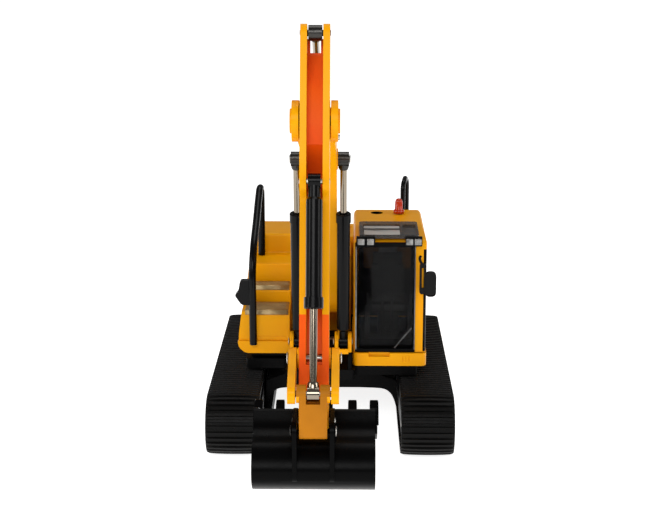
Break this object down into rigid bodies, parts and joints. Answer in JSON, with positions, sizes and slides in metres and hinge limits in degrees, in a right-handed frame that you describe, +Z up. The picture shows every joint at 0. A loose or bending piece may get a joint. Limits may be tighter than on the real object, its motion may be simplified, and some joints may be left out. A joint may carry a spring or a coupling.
{
  "type": "toy crawler excavator",
  "caption": "Die-cast style toy crawler excavator: slewing upper body with cab, lifting boom, swinging stick, curling bucket and ribbed rubber tracks.",
  "frame": {"origin": "on the ground under the slew axis, midway between the tracks", "axes": "+Z up along the slew axis, -Y the way the machine faces at rest, +X its left (cab) side"},
  "size_m": [0.0864, 0.2204, 0.1558],
  "materials": {
    "yellow_paint": "gloss yellow-orange paint",
    "gloss_black": "gloss black",
    "matte_black": "satin black moulding",
    "track_rubber": "ribbed black rubber",
    "chrome_rod": "polished",
    "pin_steel": "satin",
    "clear_plastic": "clear, faintly smoked",
    "amber_lens": "orange-red translucent"
  },
  "bodies": {
    "undercarriage": {"carbody": "matte_black", "slew_ring": "matte_black", "swivel_pin": "pin_steel", "track_frame_left": "matte_black", "track_frame_right": "matte_black", "track_belt_left": "track_rubber", "track_belt_right": "track_rubber", "drive_sprocket_axle_left": "pin_steel", "drive_sprocket_axle_right": "pin_steel", "idler_wheel_axle_left": "pin_steel", "idler_wheel_axle_right": "pin_steel"},
    "sprocket_left": {"drive_sprocket_left": "matte_black"},
    "sprocket_right": {"drive_sprocket_right": "matte_black"},
    "idler_left": {"idler_wheel_left": "matte_black"},
    "idler_right": {"idler_wheel_right": "matte_black"},
    "upper_body": {"revolving_frame": "yellow_paint", "boom_foot_pin": "pin_steel", "lift_foot_pin_left": "pin_steel", "lift_foot_pin_right": "pin_steel", "counterweight": "yellow_paint", "engine_hood": "yellow_paint", "tank_box": "yellow_paint", "lower_tread": "pin_steel", "upper_tread": "pin_steel", "handrail_right": "gloss_black", "handrail_left": "gloss_black", "cab_base": "yellow_paint", "cab_shell": "yellow_paint", "cab_glazing": "clear_plastic", "roof_visor": "clear_plastic", "driver_seat": "matte_black", "control_console": "matte_black", "windscreen_wiper": "matte_black", "lamp_bar_right": "matte_black", "lamp_bar_left": "matte_black", "beacon": "amber_lens", "cab_mirror": "gloss_black"},
    "lift_barrels": {"lift_barrel_left": "gloss_black"},
    "lift_barrels_right": {"lift_barrel_right": "gloss_black"},
    "boom_body": {"boom": "yellow_paint", "stick_pivot_pin": "pin_steel", "lift_eye_pin": "pin_steel", "arm_foot_pin": "pin_steel"},
    "lift_rods": {"lift_rod_left": "chrome_rod"},
    "lift_rods_right": {"lift_rod_right": "chrome_rod"},
    "arm_barrel_body": {"arm_barrel": "gloss_black"},
    "stick_body": {"stick": "yellow_paint", "arm_eye_pin": "pin_steel", "bucket_cylinder_foot_pin": "pin_steel", "rocker_pivot_pin": "pin_steel", "bucket_pivot_pin": "pin_steel"},
    "arm_rod_body": {"arm_rod": "chrome_rod"},
    "bucket_barrel_body": {"bucket_barrel": "gloss_black"},
    "rockers": {"rocker_plate_left": "yellow_paint", "rocker_plate_right": "yellow_paint", "rod_end_pin": "pin_steel"},
    "bucket_rod_body": {"bucket_rod": "chrome_rod"},
    "link_body": {"bucket_link": "yellow_paint"},
    "bucket_body": {"bucket": "gloss_black", "link_pivot_pin": "pin_steel"}
  },
  "joints": [
    {"name": "slew", "type": "hinge", "parent": "undercarriage", "child": "upper_body", "pos_m": [0, 0, 0.02], "axis": [0, 0, 1], "continuous": true},
    {"name": "left_drive", "type": "hinge", "parent": "undercarriage", "child": "sprocket_left", "pos_m": [0.034, 0.049, 0.0111], "axis": [1, 0, 0], "continuous": true},
    {"name": "left_idler", "type": "hinge", "parent": "undercarriage", "child": "idler_left", "pos_m": [0.034, -0.049, 0.0111], "axis": [1, 0, 0], "continuous": true},
    {"name": "right_drive", "type": "hinge", "parent": "undercarriage", "child": "sprocket_right", "pos_m": [-0.034, 0.049, 0.0111], "axis": [1, 0, 0], "continuous": true},
    {"name": "right_idler", "type": "hinge", "parent": "undercarriage", "child": "idler_right", "pos_m": [-0.034, -0.049, 0.0111], "axis": [1, 0, 0], "continuous": true},
    {"name": "boom_lift", "type": "hinge", "parent": "upper_body", "child": "boom_body", "pos_m": [-0.0036, -0.016, 0.048], "axis": [-1, 0, 0], "range_deg": [-8, 24]},
    {"name": "lift_barrel_left_swing", "type": "hinge", "parent": "upper_body", "child": "lift_barrels", "pos_m": [0.0044, -0.034, 0.0365], "axis": [-1, 0, 0], "range_deg": [-8, 21]},
    {"name": "lift_barrel_right_swing", "type": "hinge", "parent": "upper_body", "child": "lift_barrels_right", "pos_m": [-0.0116, -0.034, 0.0365], "axis": [-1, 0, 0], "range_deg": [-8, 21]},
    {"name": "lift_rod_left_swing", "type": "hinge", "parent": "boom_body", "child": "lift_rods", "pos_m": [0.0044, -0.046, 0.1047], "axis": [-1, 0, 0], "range_deg": [-4, 2]},
    {"name": "lift_rod_right_swing", "type": "hinge", "parent": "boom_body", "child": "lift_rods_right", "pos_m": [-0.0116, -0.046, 0.1047], "axis": [-1, 0, 0], "range_deg": [-4, 2]},
    {"name": "stick_swing", "type": "hinge", "parent": "boom_body", "child": "stick_body", "pos_m": [-0.0036, -0.1164, 0.1282], "axis": [1, 0, 0], "range_deg": [-17, 17]},
    {"name": "arm_barrel_swing", "type": "hinge", "parent": "boom_body", "child": "arm_barrel_body", "pos_m": [-0.0036, -0.036, 0.1105], "axis": [1, 0, 0], "range_deg": [-4, 4]},
    {"name": "arm_rod_swing", "type": "hinge", "parent": "stick_body", "child": "arm_rod_body", "pos_m": [-0.0036, -0.1106, 0.1529], "axis": [1, 0, 0], "range_deg": [-20, 20]},
    {"name": "bucket_curl", "type": "hinge", "parent": "stick_body", "child": "bucket_body", "pos_m": [-0.0036, -0.138, 0.0445], "axis": [1, 0, 0], "range_deg": [-55, 0]},
    {"name": "rocker_swing", "type": "hinge", "parent": "stick_body", "child": "rockers", "pos_m": [-0.0036, -0.132, 0.0615], "axis": [1, 0, 0], "range_deg": [-25, 1]},
    {"name": "link_swing", "type": "hinge", "parent": "rockers", "child": "link_body", "pos_m": [-0.0036, -0.1455, 0.0552], "axis": [1, 0, 0], "range_deg": [-1, 44]},
    {"name": "bucket_barrel_swing", "type": "hinge", "parent": "stick_body", "child": "bucket_barrel_body", "pos_m": [-0.0036, -0.126, 0.1124], "axis": [1, 0, 0], "range_deg": [-5, 1]},
    {"name": "bucket_rod_swing", "type": "hinge", "parent": "rockers", "child": "bucket_rod_body", "pos_m": [-0.0036, -0.1455, 0.0552], "axis": [1, 0, 0], "range_deg": [-1, 22]}
  ],
  "couplings": [
    {"joint": "left_idler", "follows": "left_drive", "ratio": 1},
    {"joint": "right_idler", "follows": "right_drive", "ratio": 1},
    {"joint": "lift_barrel_left_swing", "follows": "boom_lift", "ratio": 0.855},
    {"joint": "lift_barrel_right_swing", "follows": "boom_lift", "ratio": 0.855},
    {"joint": "lift_rod_left_swing", "follows": "boom_lift", "ratio": -0.145},
    {"joint": "lift_rod_right_swing", "follows": "boom_lift", "ratio": -0.145},
    {"joint": "arm_barrel_swing", "follows": "stick_swing", "ratio": 0.08},
    {"joint": "arm_rod_swing", "follows": "stick_swing", "ratio": -0.92},
    {"joint": "rocker_swing", "follows": "bucket_curl", "ratio": 0.422},
    {"joint": "link_swing", "follows": "bucket_curl", "ratio": -0.769},
    {"joint": "bucket_barrel_swing", "follows": "bucket_curl", "ratio": 0.062},
    {"joint": "bucket_rod_swing", "follows": "bucket_curl", "ratio": -0.36}
  ]
}
